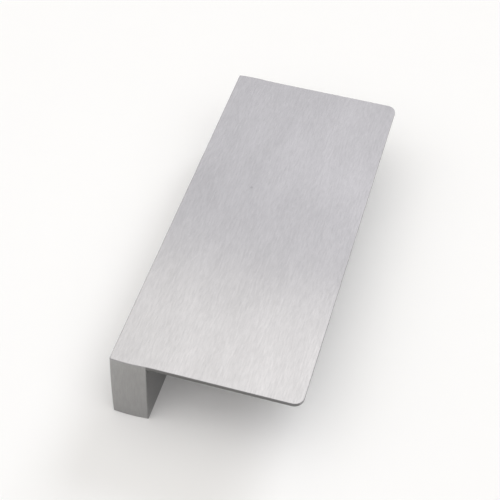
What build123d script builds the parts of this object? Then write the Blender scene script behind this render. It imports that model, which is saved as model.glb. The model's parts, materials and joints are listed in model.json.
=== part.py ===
"""Offset pull: a thin plate carried along one long edge by a solid bar leg, so that fingers reach
behind its other edge. Plate and leg are one piece of satin stainless steel, with crowned leg ends.

Millimetres. The origin is in the foot, the leg's underside, midway between the two screw holes.
+X runs across the plate to its free edge, +Y along the pull and +Z up, away from the door.
"""
import math
import os

from build123d import *

# The L section, and its length between the end corners of the plate and of the foot
pull_length = 152.0
plate_width = 65.0
pull_height = 28.8
leg_thickness = 12.7
plate_thickness = 1.4

# Leg ends dressed to a shallow crown, which runs out into the plate's straight edge
crown_across = 0.36
crown_upright = 0.53
crown_blend_radius = 75.0

# Rounded corners and edges
free_corner_radius = 3.5
leg_corner_radius = 0.5
root_radius = 0.8
edge_radius = 0.25

# Two holes in the foot, tapped for the machine screws that come through the door
screw_inset = 12.0
thread_diameter = 4.0
thread_depth = 14.0
mouth_depth = 0.3
drill_point_angle = 118.0

# Places that follow from the sizes
leg_outer = -leg_thickness / 2
leg_inner = leg_thickness / 2
free_edge = leg_outer + plate_width
mid_height = pull_height / 2
underside = pull_height - plate_thickness
end_line = -pull_length / 2 - crown_upright
crown_peak = end_line - crown_across
upright_radius = (mid_height**2 + crown_upright**2) / (2 * crown_upright)
crown_centre = end_line + upright_radius
screw_spacing = pull_length - 2 * screw_inset
thread_radius = thread_diameter / 2
drill_point = thread_radius / math.tan(math.radians(drill_point_angle / 2))

# What one end is trimmed to: its plan at mid height, turned about the middle of the upright crown
with BuildPart() as crowned_end:
    with BuildSketch(Plane.XY.offset(mid_height)) as plan:
        with BuildLine():
            crown = ThreePointArc((leg_inner, end_line), (0, crown_peak), (leg_outer, end_line))
            Polyline(
                crown @ 1,
                (leg_outer, crown_centre),
                (free_edge, crown_centre),
                (free_edge, end_line),
                crown @ 0,
            )
        make_face()
        run_out = plan.vertices().sort_by_distance((leg_inner, end_line, mid_height))[0]
        fillet(run_out, crown_blend_radius)
    revolve(axis=Axis((0, crown_centre, mid_height), (1, 0, 0)))

with BuildPart() as pull:
    # The L section, rounded at its root, along the whole length and trimmed to both ends
    with BuildSketch(Plane.XZ) as section:
        with BuildLine():
            Polyline(
                (leg_outer, 0),
                (leg_inner, 0),
                (leg_inner, underside),
                (free_edge, underside),
                (free_edge, pull_height),
                (leg_outer, pull_height),
                close=True,
            )
        make_face()
        root = section.vertices().sort_by_distance((leg_inner, underside, 0))[0]
        fillet(root, root_radius)
    extrude(amount=-crown_peak, both=True)
    add(crowned_end.part, mode=Mode.INTERSECT)
    mirror(crowned_end.part, about=Plane.XZ, mode=Mode.INTERSECT)

    # Upright corners: the plate's two free ones and the leg's two outer ones
    for side, radius in ((-1, free_corner_radius), (0, leg_corner_radius)):
        corners = pull.faces().sort_by(Axis.X)[side].edges().filter_by(Axis.Y, reverse=True)
        fillet(corners, radius)

    # Broken edges: round the finger space, then round the top, then round the foot
    rim = pull.faces().filter_by(Axis.Z).sort_by(Axis.Z)[1].edges().sort_by(Axis.X)[1:]
    root_face = pull.faces().sort_by_distance((leg_inner, 0, underside))[0]
    inner_face = pull.faces().filter_by(Axis.X).sort_by(Axis.X)[1]
    uprights = (root_face.edges() + inner_face.edges()).filter_by(Axis.Y, reverse=True)
    fillet(rim + uprights, edge_radius)
    for level in (-1, 0):
        fillet(pull.faces().sort_by(Axis.Z)[level].edges(), edge_radius)

    # Blind screw holes with a countersunk mouth and a drill point
    for end in (-1, 1):
        axis = Axis((0, end * screw_spacing / 2, 0), (0, 0, 1))
        with BuildSketch(Plane(axis.position, x_dir=(1, 0, 0), z_dir=(0, -1, 0))):
            with BuildLine():
                Polyline(
                    (0, 0),
                    (thread_radius + mouth_depth, 0),
                    (thread_radius, mouth_depth),
                    (thread_radius, thread_depth),
                    (0, thread_depth + drill_point),
                    close=True,
                )
            make_face()
        revolve(axis=axis, mode=Mode.SUBTRACT)

pull.part.label = "offset_pull"
os.makedirs("parts", exist_ok=True)
export_step(pull.part, "parts/offset_pull.step")
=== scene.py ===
"""Looks of the offset pull: satin steel brushed along its length, the screw threads in its foot, a studio.

Metres, in the part's own frame: the foot lies on z = 0, +X runs to the plate's free edge and +Y along the
pull. The camera stands on the -Y side.
"""
import json
import math

import bpy
import numpy as np
from bpy.props import FloatProperty, FloatVectorProperty, IntProperty, PointerProperty
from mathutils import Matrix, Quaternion, Vector


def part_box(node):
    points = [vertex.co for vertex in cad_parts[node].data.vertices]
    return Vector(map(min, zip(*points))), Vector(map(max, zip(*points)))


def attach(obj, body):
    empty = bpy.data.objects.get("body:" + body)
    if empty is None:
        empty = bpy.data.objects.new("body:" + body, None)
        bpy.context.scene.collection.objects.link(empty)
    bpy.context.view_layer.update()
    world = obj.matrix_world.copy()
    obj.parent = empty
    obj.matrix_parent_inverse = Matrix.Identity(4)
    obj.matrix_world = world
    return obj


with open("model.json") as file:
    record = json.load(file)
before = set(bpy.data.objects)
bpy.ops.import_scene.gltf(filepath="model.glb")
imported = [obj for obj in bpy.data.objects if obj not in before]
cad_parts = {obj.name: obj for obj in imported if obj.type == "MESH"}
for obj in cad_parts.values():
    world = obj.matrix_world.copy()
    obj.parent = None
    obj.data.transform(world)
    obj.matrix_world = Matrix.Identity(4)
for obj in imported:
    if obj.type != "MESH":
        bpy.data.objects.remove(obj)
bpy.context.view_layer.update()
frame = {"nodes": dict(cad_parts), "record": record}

bl_info = {
    "name": "Offset pull",
    "version": (1, 0, 0),
    "blender": (4, 5, 0),
    "location": "3D View > Sidebar > Offset pull",
    "description": "Finishes a satin steel offset pull and sets it in a plain studio",
    "category": "Object",
}

PULL = frame["nodes"]["offset_pull"]
PULL_LOW, PULL_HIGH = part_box("offset_pull")
SCREW_HOLES = next(m for m in frame["record"]["mounts"] if m["name"] == "screw_holes")
MILLIMETRE = 0.001

# The leg stands centred on x = 0, so its inner face is as far out as its outer one
LEG_FACE = -PULL_LOW.x

# Kinds of brush mark: width and length in strokes, finer layers on top and how strong each is to the last
GRAIN = {"Cloud": (24, 10, 2, 0.6), "Strokes": (1, 1, 2, 0.6), "Hairlines": (0.18, 3, 2, 0.6)}

# The steel: how far a face is turned to count as facing a way, how soon the painted shade on the rim sets
# in, and what the marks do to tone and roughness
FACING = 0.7
RIM_BLEND = 0.3 * MILLIMETRE
STROKE_TONE = (0.855, 1.145)
CLOUD_TONE = (-0.1, 0.1)
SPECK_TONE = 0.86
ROUGHNESS_SPREAD = 0.06

# The threads: the share of the ridge's depth that is sunk in the wall, and the tap's marks
RIDGE_SINK = 0.05
TAP_STROKE = (0.1 * MILLIMETRE, 0.4 * MILLIMETRE)
TAP_TONE = (0.85, 1.0)
TAP_ROUGHNESS = (0.22, 0.4)

# The floor: its reach, how far it lies below the foot, how far its window stays inside the foot's box, and
# its paper
FLOOR_REACH = 4.0
FLOOR_DROP = 0.02 * MILLIMETRE
WINDOW_INSET = (0.22 * MILLIMETRE, 1.2 * MILLIMETRE)
MOTTLE_SCALE = 60.0
MOTTLE_DETAIL = 3.0
MOTTLE_TONE = (0.99, 1.0)
PAPER_ROUGHNESS = 0.9

# The room: an axis of the direction that is looked in, where a change of brightness starts and stops on it,
# and the brightness there
SHOWN_ROOM = (
    ("X", -0.6, 0.3, 0.57, 1.17),  # dimmer on the leg's side
    ("Y", -0.8, 0.0, 0.85, 1.0),  # dimmer on the camera's side
    ("Y", 0.68, 0.725, 0.98, 1.14),  # a bright band behind the pull
    ("Y", 0.73, 0.77, 1.0, 0.82),  # that ends low down
    ("Z", 0.0, 0.4, 0.45, 1.0),  # dimmer at the horizon
    ("Z", 0.83, 0.97, 1.0, 0.6),  # and overhead, where the softbox is
)
THROWN_ROOM = (
    ("Z", 0.2, 0.8, 0.0, 1.0),  # light comes from above
    ("Y", -0.5, 0.4, 1.0, 0.3),  # and most of it from the camera's side
)

# The camera: its sensor's width in millimetres and the range of distances that it sees
SENSOR_WIDTH = 36
NEAREST, FARTHEST = 0.01, 20

# Sockets of a Mix node of each kind: first input, second input and result
MIX_SOCKETS = {"FLOAT": (2, 3, 0), "VECTOR": (4, 5, 1), "RGBA": (6, 7, 2)}

# Sizes and colours that a user would change


class SteelSettings(bpy.types.PropertyGroup):
    """The brushed finish, with shade painted on the ends, the plate's rim and the leg's inner face."""

    colour: FloatVectorProperty(
        name="Steel colour", description="Colour of the bare metal",
        subtype="COLOR", size=3, min=0, max=1, default=(0.61, 0.606, 0.602),
    )
    roughness: FloatProperty(
        name="Roughness", description="Mean roughness of the brushed faces",
        subtype="FACTOR", min=0, max=1, default=0.25,
    )
    brushing: FloatProperty(
        name="Brushing", description="How far highlights are drawn out across the brush strokes",
        subtype="FACTOR", min=0, max=1, default=1.0,
    )
    # Painted shade: the ends are darkened partly for a coarser dressing and partly to stand in for the
    # shaded floor they mirror
    end_dressing_and_shade: FloatProperty(
        name="End tone", description="Tone of the leg's dressed ends next to the brushed faces",
        subtype="FACTOR", min=0, max=1, default=0.6,
    )
    # Painted shade: the plate's cut rim and the leg's inner face are darkened to stand in for the shade
    # under and in front of the plate that they mirror
    rim_painted_shade: FloatProperty(
        name="Rim tone",
        description="Tone of the plate's cut rim and the leg's inner face next to the rest",
        subtype="FACTOR", min=0, max=1, default=0.5,
    )
    stroke_width: FloatProperty(
        name="Stroke width", description="Width of a brush stroke",
        subtype="DISTANCE", unit="LENGTH", default=0.5 * MILLIMETRE,
    )
    stroke_length: FloatProperty(
        name="Stroke length", description="Length of a brush stroke",
        subtype="DISTANCE", unit="LENGTH", default=3.6 * MILLIMETRE,
    )
    scratch_depth: FloatProperty(
        name="Scratch depth", description="Depth of the brush scratches",
        subtype="DISTANCE", unit="LENGTH", default=0.004 * MILLIMETRE,
    )
    speck: FloatVectorProperty(
        name="Speck", description="Place of a small dark pit in the plate's top",
        subtype="XYZ", unit="LENGTH", size=3,
        default=(16.1 * MILLIMETRE, 14.6 * MILLIMETRE, PULL_HIGH.z),
    )
    speck_radius: FloatProperty(
        name="Speck radius", description="Radius of the pit",
        subtype="DISTANCE", unit="LENGTH", default=0.7 * MILLIMETRE,
    )


class ThreadSettings(bpy.types.PropertyGroup):
    """The screw threads in the foot."""

    radius: FloatProperty(
        name="Major radius", description="Radius of the hole's wall, where the thread is rooted",
        subtype="DISTANCE", unit="LENGTH", default=SCREW_HOLES["dims"]["hole_r_mm"] * MILLIMETRE,
    )
    pitch: FloatProperty(
        name="Pitch", description="Rise of the thread in one turn",
        subtype="DISTANCE", unit="LENGTH", default=0.7 * MILLIMETRE,
    )
    depth: FloatProperty(
        name="Depth", description="Depth of the tapped part of the hole",
        subtype="DISTANCE", unit="LENGTH", default=13 * MILLIMETRE,
    )
    steps: IntProperty(
        name="Steps a turn", description="Sides that a turn of the thread is drawn with",
        min=12, max=96, default=48,
    )


class StudioSettings(bpy.types.PropertyGroup):
    """Camera, floor and light."""

    lens: FloatProperty(
        name="Lens", description="Focal length on a 36 mm wide sensor", unit="CAMERA", default=90,
    )
    azimuth: FloatProperty(
        name="Azimuth", description="How far the camera stands round to the free edge's side",
        subtype="ANGLE", unit="ROTATION", default=math.radians(14.134),
    )
    elevation: FloatProperty(
        name="Elevation", description="How steeply the camera looks down",
        subtype="ANGLE", unit="ROTATION", default=math.radians(47.108),
    )
    roll: FloatProperty(
        name="Roll", description="Turn of the camera about its line of sight",
        subtype="ANGLE", unit="ROTATION", default=math.radians(2.488),
    )
    distance: FloatProperty(
        name="Distance", description="From the camera to the point of the plate that it looks at",
        subtype="DISTANCE", unit="LENGTH", default=441.87 * MILLIMETRE,
    )
    aim: FloatVectorProperty(
        name="Aim", description="Point of the plate's top in the middle of the picture",
        subtype="XYZ", unit="LENGTH", size=3,
        default=(24.27 * MILLIMETRE, -15.96 * MILLIMETRE, PULL_HIGH.z),
    )
    softbox_size: FloatVectorProperty(
        name="Softbox size", description="Width and length of the soft lamp overhead",
        subtype="XYZ_LENGTH", unit="LENGTH", size=2, default=(2.2, 2.0),
    )
    softbox_height: FloatProperty(
        name="Softbox height", description="Height of the soft lamp above the floor",
        subtype="DISTANCE", unit="LENGTH", default=1.6,
    )
    softbox_back: FloatProperty(
        name="Softbox back edge",
        description="Height at which the pull sees the far edge of the soft lamp",
        subtype="ANGLE", unit="ROTATION", default=math.radians(50),
    )
    softbox_level: FloatProperty(
        name="Softbox level", description="Brightness of the soft lamp, added to the room's white",
        min=0, default=0.43,
    )
    softbox_colour: FloatVectorProperty(
        name="Softbox colour", description="Tint of the soft lamp",
        subtype="COLOR", size=3, min=0, default=(1.03, 1.0, 0.9),
    )
    dome_level: FloatProperty(
        name="Dome level", description="Brightness that the white room lights the floor with",
        min=0, default=1.55,
    )
    thrown_colour: FloatVectorProperty(
        name="Thrown colour", description="Tint of the light that the white room throws",
        subtype="COLOR", size=3, min=0, default=(1.015, 1.0, 0.995),
    )
    shown_colour: FloatVectorProperty(
        name="Shown colour", description="Tint of the white room where it is seen or mirrored",
        subtype="COLOR", size=3, min=0, default=(1.0, 0.985, 1.035),
    )
    back_bearing: FloatProperty(
        name="Back lamp bearing", description="How far the back lamp stands round to the free edge's side",
        subtype="ANGLE", unit="ROTATION", default=math.radians(17),
    )
    back_height: FloatProperty(
        name="Back lamp height", description="Height of the back lamp above the floor's horizon",
        subtype="ANGLE", unit="ROTATION", default=math.radians(34),
    )
    back_width: FloatProperty(
        name="Back lamp width",
        description="Width that the back lamp is seen under, which softens the shadow",
        subtype="ANGLE", unit="ROTATION", default=math.radians(26),
    )
    back_level: FloatProperty(
        name="Back lamp level", description="Light of the back lamp on a face turned to it",
        min=0, default=1.0,
    )
    back_colour: FloatVectorProperty(
        name="Back lamp colour", description="Tint of the back lamp",
        subtype="COLOR", size=3, min=0, default=(0.97, 1.0, 1.05),
    )
    floor_colour: FloatVectorProperty(
        name="Floor colour", description="Colour of the floor",
        subtype="COLOR", size=3, min=0, max=1, default=(0.95, 0.948, 0.944),
    )


# Objects and meshes


def add_object(name, data):
    """An object linked into the scene."""
    made = bpy.data.objects.new(name, data)
    bpy.context.scene.collection.objects.link(made)
    return made


def add_piece(name, points, faces, material):
    """A smooth mesh object of one material from whole arrays of points and of faces."""
    mesh = bpy.data.meshes.new(name)
    mesh.from_pydata(points.reshape(-1, 3), [], faces.tolist())
    mesh.shade_smooth()
    mesh.materials.append(material)
    return add_object(name, mesh)


def ring_faces(rings, sides):
    """Quads between neighbouring rings of a tube, each ring a closed loop of that many sides."""
    ring, side = np.meshgrid(np.arange(rings - 1), np.arange(sides), indexing="ij")
    start, after = ring * sides, (side + 1) % sides
    corners = (start + side, start + after, start + sides + after, start + sides + side)
    return np.stack(corners, axis=-1).reshape(-1, 4)


def thread_ridge(centre, settings):
    """The ridge of an internal screw thread: a trapezium carried up a helix.

    The angle runs over all the turns and the height is the pitch times the turns. Across the ridge go the
    four corners of the basic thread form: 7/8 pitch wide at the wall and 1/4 pitch wide at the crest, 5/8
    of the full 60 degree triangle deep. At both ends the crest sinks into the wall over one turn.
    """
    turns = settings.depth / settings.pitch - 1
    turn = np.linspace(0, turns, int(turns * settings.steps))
    swell = np.clip(np.minimum(turn, turns - turn), 0, 1)
    swell = swell * swell * (3 - 2 * swell)
    depth = 5 / 8 * math.sqrt(3) / 2 * settings.pitch
    crest, foot = swell * depth, np.full_like(turn, -RIDGE_SINK * depth)
    along = settings.pitch * np.array((-7 / 16, -1 / 8, 1 / 8, 7 / 16))
    radius = settings.radius - np.stack((foot, crest, crest, foot), axis=1)
    angle = 2 * math.pi * turn[:, None]
    height = settings.pitch * (turn[:, None] + 0.5) + along
    points = np.stack((radius * np.cos(angle), radius * np.sin(angle), height), axis=-1) + centre

    first = np.arange(len(along))
    last = (len(turn) - 1) * len(along) + first
    return points, np.concatenate((ring_faces(len(turn), len(along)), (first[::-1], last)))


def direction(bearing, height):
    """A unit vector at a height above the horizon and a bearing from -Y round to the free edge's side."""
    level = math.cos(height)
    return Vector((math.sin(bearing) * level, -math.cos(bearing) * level, math.sin(height)))


def look_along(thing, way, roll=0.0):
    """Turns a lamp or a camera to look along a way, then about that way by a roll."""
    thing.rotation_mode = "QUATERNION"
    thing.rotation_quaternion = way.to_track_quat("-Z", "Y") @ Quaternion((0, 0, 1), roll)


# Shader nodes


def set_inputs(tree, node, inputs):
    """Gives a node's inputs their values, or links them to the sockets that feed them."""
    for key, value in inputs.items():
        if isinstance(value, bpy.types.NodeSocket):
            tree.links.new(value, node.inputs[key])
        else:
            node.inputs[key].default_value = value


def add_node(tree, kind, inputs=None, **settings):
    """A node with its settings and inputs."""
    made = tree.nodes.new(kind)
    for key, value in settings.items():
        setattr(made, key, value)
    set_inputs(tree, made, inputs or {})
    return made


def add_math(tree, operation, *values):
    """The result of a Math node on values or sockets."""
    return add_node(tree, "ShaderNodeMath", dict(enumerate(values)), operation=operation).outputs[0]


def add_vector_math(tree, operation, *values, output="Vector"):
    """The result of a Vector Math node on vectors or sockets."""
    made = add_node(tree, "ShaderNodeVectorMath", dict(enumerate(values)), operation=operation)
    return made.outputs[output]


def add_mix(tree, kind, factor, first, second, blend="MIX"):
    """The result of a Mix node between two numbers, vectors or colours."""
    one, other, result = MIX_SOCKETS[kind]
    inputs = {0: factor, one: first, other: second}
    return add_node(tree, "ShaderNodeMix", inputs, data_type=kind, blend_type=blend).outputs[result]


def map_range(tree, value, low, high):
    """A value from 0 to 1 stretched to low to high."""
    inputs = {"Value": value, "To Min": low, "To Max": high}
    return add_node(tree, "ShaderNodeMapRange", inputs).outputs["Result"]


def smooth_range(tree, value, start, stop, low, high):
    """A value that goes smoothly from low to high as another goes from start to stop."""
    inputs = {"Value": value, "From Min": start, "From Max": stop, "To Min": low, "To Max": high}
    return add_node(tree, "ShaderNodeMapRange", inputs, interpolation_type="SMOOTHSTEP").outputs["Result"]


def tinted(tree, colour, tone):
    """A colour made darker or lighter by a tone about 1."""
    return add_mix(tree, "RGBA", 1.0, (*colour, 1), tone, blend="MULTIPLY")


def brush_grain_group():
    """Brush marks along the Y of the position that it is given: cloudy patches, strokes and hairlines."""
    tree = bpy.data.node_groups.new("brush_grain", "ShaderNodeTree")
    tree.interface.new_socket("Position", in_out="INPUT", socket_type="NodeSocketVector")
    for name in ("Stroke Width", "Stroke Length"):
        tree.interface.new_socket(name, in_out="INPUT", socket_type="NodeSocketFloat")
    for name in GRAIN:
        tree.interface.new_socket(name, in_out="OUTPUT", socket_type="NodeSocketFloat")
    given = add_node(tree, "NodeGroupInput").outputs
    result = add_node(tree, "NodeGroupOutput")

    for name, (wider, longer, detail, crispness) in GRAIN.items():
        across = add_math(tree, "MULTIPLY", given["Stroke Width"], wider)
        along = add_math(tree, "MULTIPLY", given["Stroke Length"], longer)
        size = add_node(tree, "ShaderNodeCombineXYZ", {"X": across, "Y": along, "Z": across}).outputs[0]
        place = add_vector_math(tree, "DIVIDE", given["Position"], size)
        inputs = {"Vector": place, "Scale": 1.0, "Detail": detail, "Roughness": crispness}
        marks = add_node(tree, "ShaderNodeTexNoise", inputs)
        set_inputs(tree, result, {name: marks.outputs[0]})
    return tree


def brush_marks(tree, position, width, length):
    """The marks at a position for strokes of that size, from the one group that the steels share."""
    group = bpy.data.node_groups.get("brush_grain") or brush_grain_group()
    inputs = {"Position": position, "Stroke Width": width, "Stroke Length": length}
    return add_node(tree, "ShaderNodeGroup", inputs, node_tree=group).outputs


def new_material(name):
    """An empty node material with its Principled shader and output."""
    material = bpy.data.materials.new(name)
    material.use_nodes = True
    tree = material.node_tree
    tree.nodes.clear()
    shader = add_node(tree, "ShaderNodeBsdfPrincipled")
    output = add_node(tree, "ShaderNodeOutputMaterial", {"Surface": shader.outputs["BSDF"]})
    return material, tree, shader, output


def grain_and_shade_masks(tree, place):
    """Two masks: the faces at the pull's ends, and the plate's rim with the leg's inner face, where shade
    is painted.
    """
    facing = add_node(tree, "ShaderNodeSeparateXYZ", {0: place["Normal"]}).outputs
    on_end = add_math(tree, "GREATER_THAN", add_math(tree, "ABSOLUTE", facing["Y"]), FACING)
    upright = add_math(tree, "LESS_THAN", add_math(tree, "ABSOLUTE", facing["Z"]), FACING)
    across = add_node(tree, "ShaderNodeSeparateXYZ", {0: place["Object"]}).outputs["X"]
    beyond_leg = smooth_range(tree, across, LEG_FACE - RIM_BLEND, LEG_FACE, 0.0, 1.0)
    return on_end, add_math(tree, "MULTIPLY", beyond_leg, upright)


def satin_steel(settings):
    """Steel brushed along the pull on its long faces, and up and down on its two ends, which are darker
    partly from a coarser dressing and partly from painted shade.
    """
    material, tree, shader, _ = new_material("satin_steel")
    place = add_node(tree, "ShaderNodeTexCoord").outputs
    on_end, painted_shade_rim = grain_and_shade_masks(tree, place)

    # Marks along the pull, turned upright on the ends
    quarter_turn = {"Vector": place["Object"], "Rotation": (math.pi / 2, 0, 0)}
    turned = add_node(tree, "ShaderNodeMapping", quarter_turn).outputs[0]
    position = add_mix(tree, "VECTOR", on_end, place["Object"], turned)
    marks = brush_marks(tree, position, settings.stroke_width, settings.stroke_length)
    strokes, hairlines = marks["Strokes"], marks["Hairlines"]

    # Tone of the strokes and clouds, then of the ends (a coarser dressing and painted shade), of the rim
    # and the leg's inner face (painted shade) and of the speck
    cloud = map_range(tree, marks["Cloud"], *CLOUD_TONE)
    tone = add_math(tree, "ADD", map_range(tree, strokes, *STROKE_TONE), cloud)
    away = add_vector_math(tree, "DISTANCE", place["Object"], settings.speck, output="Value")
    for finish in (
        # The ends are darkened partly for a coarser dressing and partly as painted shade; the rim and the
        # leg's inner face only as painted shade
        map_range(tree, on_end, 1.0, settings.end_dressing_and_shade),
        map_range(tree, painted_shade_rim, 1.0, settings.rim_painted_shade),
        smooth_range(tree, away, settings.speck_radius / 2, settings.speck_radius, SPECK_TONE, 1.0),
    ):
        tone = add_math(tree, "MULTIPLY", tone, finish)

    smoothest, roughest = settings.roughness - ROUGHNESS_SPREAD, settings.roughness + ROUGHNESS_SPREAD
    height = add_math(tree, "ADD", hairlines, strokes)
    scratches = {"Height": height, "Strength": 1.0, "Distance": settings.scratch_depth}

    # Highlights are drawn out across the strokes
    strokes_way = {"Y": add_math(tree, "SUBTRACT", 1.0, on_end), "Z": on_end}
    along = add_node(tree, "ShaderNodeCombineXYZ", strokes_way).outputs[0]
    set_inputs(tree, shader, {
        "Base Color": tinted(tree, settings.colour, tone),
        "Roughness": map_range(tree, hairlines, smoothest, roughest),
        "Normal": add_node(tree, "ShaderNodeBump", scratches).outputs[0],
        "Tangent": add_vector_math(tree, "CROSS_PRODUCT", place["Normal"], along),
        "Anisotropic": settings.brushing,
        "Metallic": 1.0,
    })
    return material


def tapped_steel(settings):
    """Bright cut steel of the threads, with the tap's fine marks."""
    material, tree, shader, _ = new_material("tapped_steel")
    place = add_node(tree, "ShaderNodeTexCoord").outputs["Object"]
    marks = brush_marks(tree, place, *TAP_STROKE)
    set_inputs(tree, shader, {
        "Base Color": tinted(tree, settings.colour, map_range(tree, marks["Strokes"], *TAP_TONE)),
        "Roughness": map_range(tree, marks["Hairlines"], *TAP_ROUGHNESS),
        "Metallic": 1.0,
    })
    return material


def floor_paper(studio):
    """White paper with a faint mottle, clear from below."""
    material, tree, shader, output = new_material("floor_paper")
    place = add_node(tree, "ShaderNodeTexCoord").outputs["Object"]
    inputs = {"Vector": place, "Scale": MOTTLE_SCALE, "Detail": MOTTLE_DETAIL}
    mottle = add_node(tree, "ShaderNodeTexNoise", inputs).outputs[0]
    set_inputs(tree, shader, {
        "Base Color": tinted(tree, studio.floor_colour, map_range(tree, mottle, *MOTTLE_TONE)),
        "Roughness": PAPER_ROUGHNESS,
        "Specular IOR Level": 0.0,
    })
    below = add_node(tree, "ShaderNodeNewGeometry").outputs["Backfacing"]
    clear = add_node(tree, "ShaderNodeBsdfTransparent").outputs[0]
    sheet = add_node(tree, "ShaderNodeMixShader", {0: below, 1: shader.outputs[0], 2: clear})
    set_inputs(tree, output, {"Surface": sheet.outputs[0]})
    return material


def room_brightness(tree, way, changes):
    """The product of smooth changes of brightness along the axes of a direction."""
    level = 1.0
    for axis, *change in changes:
        level = add_math(tree, "MULTIPLY", level, smooth_range(tree, way[axis], *change))
    return level


# Operators


class PULL_OT_finish_steel(bpy.types.Operator):
    """Give the pull its brushed finish and its painted shade"""

    bl_idname = "pull.finish_steel"
    bl_label = "Finish steel"

    def execute(self, context):
        PULL.data.materials.clear()
        PULL.data.materials.append(satin_steel(context.scene.pull_steel))
        return {"FINISHED"}


class PULL_OT_tap_holes(bpy.types.Operator):
    """Tap a thread into each screw hole of the foot"""

    bl_idname = "pull.tap_holes"
    bl_label = "Tap holes"

    def execute(self, context):
        material = tapped_steel(context.scene.pull_steel)
        half = SCREW_HOLES["dims"]["spacing_y_mm"] / 2 * MILLIMETRE
        for name, offset in (("thread_near", -half), ("thread_far", half)):
            centre = np.array(SCREW_HOLES["pos_m"]) + (0, offset, 0)
            piece = add_piece(name, *thread_ridge(centre, context.scene.pull_thread), material)
            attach(piece, "root")
        return {"FINISHED"}


class PULL_OT_set_studio(bpy.types.Operator):
    """Set the floor, the lights and the camera"""

    bl_idname = "pull.set_studio"
    bl_label = "Set studio"

    def execute(self, context):
        scene, studio = context.scene, context.scene.pull_studio
        self.add_floor(studio)
        scene.world = self.add_dome(studio)
        self.add_softbox(studio)
        self.add_back_lamp(studio)
        scene.camera = self.add_camera(studio)
        scene.view_settings.view_transform = "Standard"
        return {"FINISHED"}

    def add_floor(self, studio):
        """A wide flat floor just below the foot, with a window under the foot that only shows from below.

        It is the ring of four quads between two rectangles, the window and the floor's outline.
        """
        window = np.array((LEG_FACE, PULL_HIGH.y)) - WINDOW_INSET
        corners = np.array(((-1, -1), (1, -1), (1, 1), (-1, 1)))
        rings = np.concatenate((corners * window, corners * FLOOR_REACH))
        points = np.column_stack((rings, np.full(len(rings), -FLOOR_DROP)))
        floor = add_piece("floor", points, ring_faces(2, len(corners))[:, ::-1], floor_paper(studio))

    def add_dome(self, studio):
        """A white room. The metal sees it brightest behind; its light comes mostly from the front."""
        world = bpy.data.worlds.new("studio_dome")
        world.use_nodes = True
        tree = world.node_tree
        tree.nodes.clear()
        place = add_node(tree, "ShaderNodeTexCoord").outputs["Generated"]
        way = add_node(tree, "ShaderNodeSeparateXYZ", {0: place}).outputs
        path = add_node(tree, "ShaderNodeLightPath").outputs
        camera = path["Is Camera Ray"]
        mirrored = add_math(tree, "MAXIMUM", path["Is Glossy Ray"], path["Is Transmission Ray"])
        seen = add_math(tree, "MAXIMUM", camera, mirrored)

        shown = add_math(tree, "MAXIMUM", room_brightness(tree, way, SHOWN_ROOM), camera)
        thrown = add_math(tree, "MULTIPLY", room_brightness(tree, way, THROWN_ROOM), studio.dome_level)
        tints = ((*studio.thrown_colour, 1), (*studio.shown_colour, 1))
        dome = add_node(tree, "ShaderNodeBackground", {
            "Color": add_mix(tree, "RGBA", seen, *tints),
            "Strength": add_mix(tree, "FLOAT", seen, thrown, shown),
        })
        add_node(tree, "ShaderNodeOutputWorld", {"Surface": dome.outputs[0]})
        return world

    def add_softbox(self, studio):
        """A wide soft lamp overhead that looks straight down."""
        width, length = studio.softbox_size
        lamp = bpy.data.lights.new("softbox", "AREA")
        lamp.shape = "RECTANGLE"
        lamp.size, lamp.size_y = width, length
        lamp.energy = studio.softbox_level * math.pi * width * length
        lamp.color = studio.softbox_colour
        back_edge = studio.softbox_height / math.tan(studio.softbox_back)
        box = add_object("softbox", lamp)
        box.location = (0, back_edge - length / 2, studio.softbox_height)
        box.visible_camera = False

    def add_back_lamp(self, studio):
        """A wide far lamp behind the pull, which throws its shadow towards the camera."""
        lamp = bpy.data.lights.new("back_lamp", "SUN")
        lamp.energy = studio.back_level
        lamp.color = studio.back_colour
        lamp.angle = studio.back_width
        stand = add_object("back_lamp", lamp)
        look_along(stand, -direction(math.pi - studio.back_bearing, studio.back_height))
        stand.visible_glossy = False

    def add_camera(self, studio):
        """A camera that looks at the aim point from the azimuth and elevation, turned by the roll."""
        back = direction(studio.azimuth, studio.elevation)
        lens = bpy.data.cameras.new("camera")
        lens.sensor_width = SENSOR_WIDTH
        lens.lens = studio.lens
        lens.clip_start, lens.clip_end = NEAREST, FARTHEST
        camera = add_object("camera", lens)
        camera.location = Vector(studio.aim) + studio.distance * back
        look_along(camera, -back, studio.roll)
        return camera


class PULL_PT_panel(bpy.types.Panel):
    """The steps that dress the pull, with their settings"""

    bl_idname = "PULL_PT_panel"
    bl_label = "Offset pull"
    bl_space_type = "VIEW_3D"
    bl_region_type = "UI"
    bl_category = "Offset pull"

    def draw(self, context):
        for operator, settings in STEPS:
            box = self.layout.box()
            box.operator(operator.bl_idname)
            group = getattr(context.scene, settings)
            for name in group.__annotations__:
                box.prop(group, name)


STEPS = (
    (PULL_OT_finish_steel, "pull_steel"),
    (PULL_OT_tap_holes, "pull_thread"),
    (PULL_OT_set_studio, "pull_studio"),
)
SETTINGS = {"pull_steel": SteelSettings, "pull_thread": ThreadSettings, "pull_studio": StudioSettings}
CLASSES = (*SETTINGS.values(), *(operator for operator, _ in STEPS), PULL_PT_panel)


def register():
    for each in CLASSES:
        bpy.utils.register_class(each)
    for name, group in SETTINGS.items():
        setattr(bpy.types.Scene, name, PointerProperty(type=group))


def unregister():
    for name in SETTINGS:
        delattr(bpy.types.Scene, name)
    for each in reversed(CLASSES):
        bpy.utils.unregister_class(each)


def main():
    """Registers the classes and dresses the pull step by step."""
    register()
    bpy.ops.pull.finish_steel()
    bpy.ops.pull.tap_holes()
    bpy.ops.pull.set_studio()


if __name__ == "__main__":
    main()
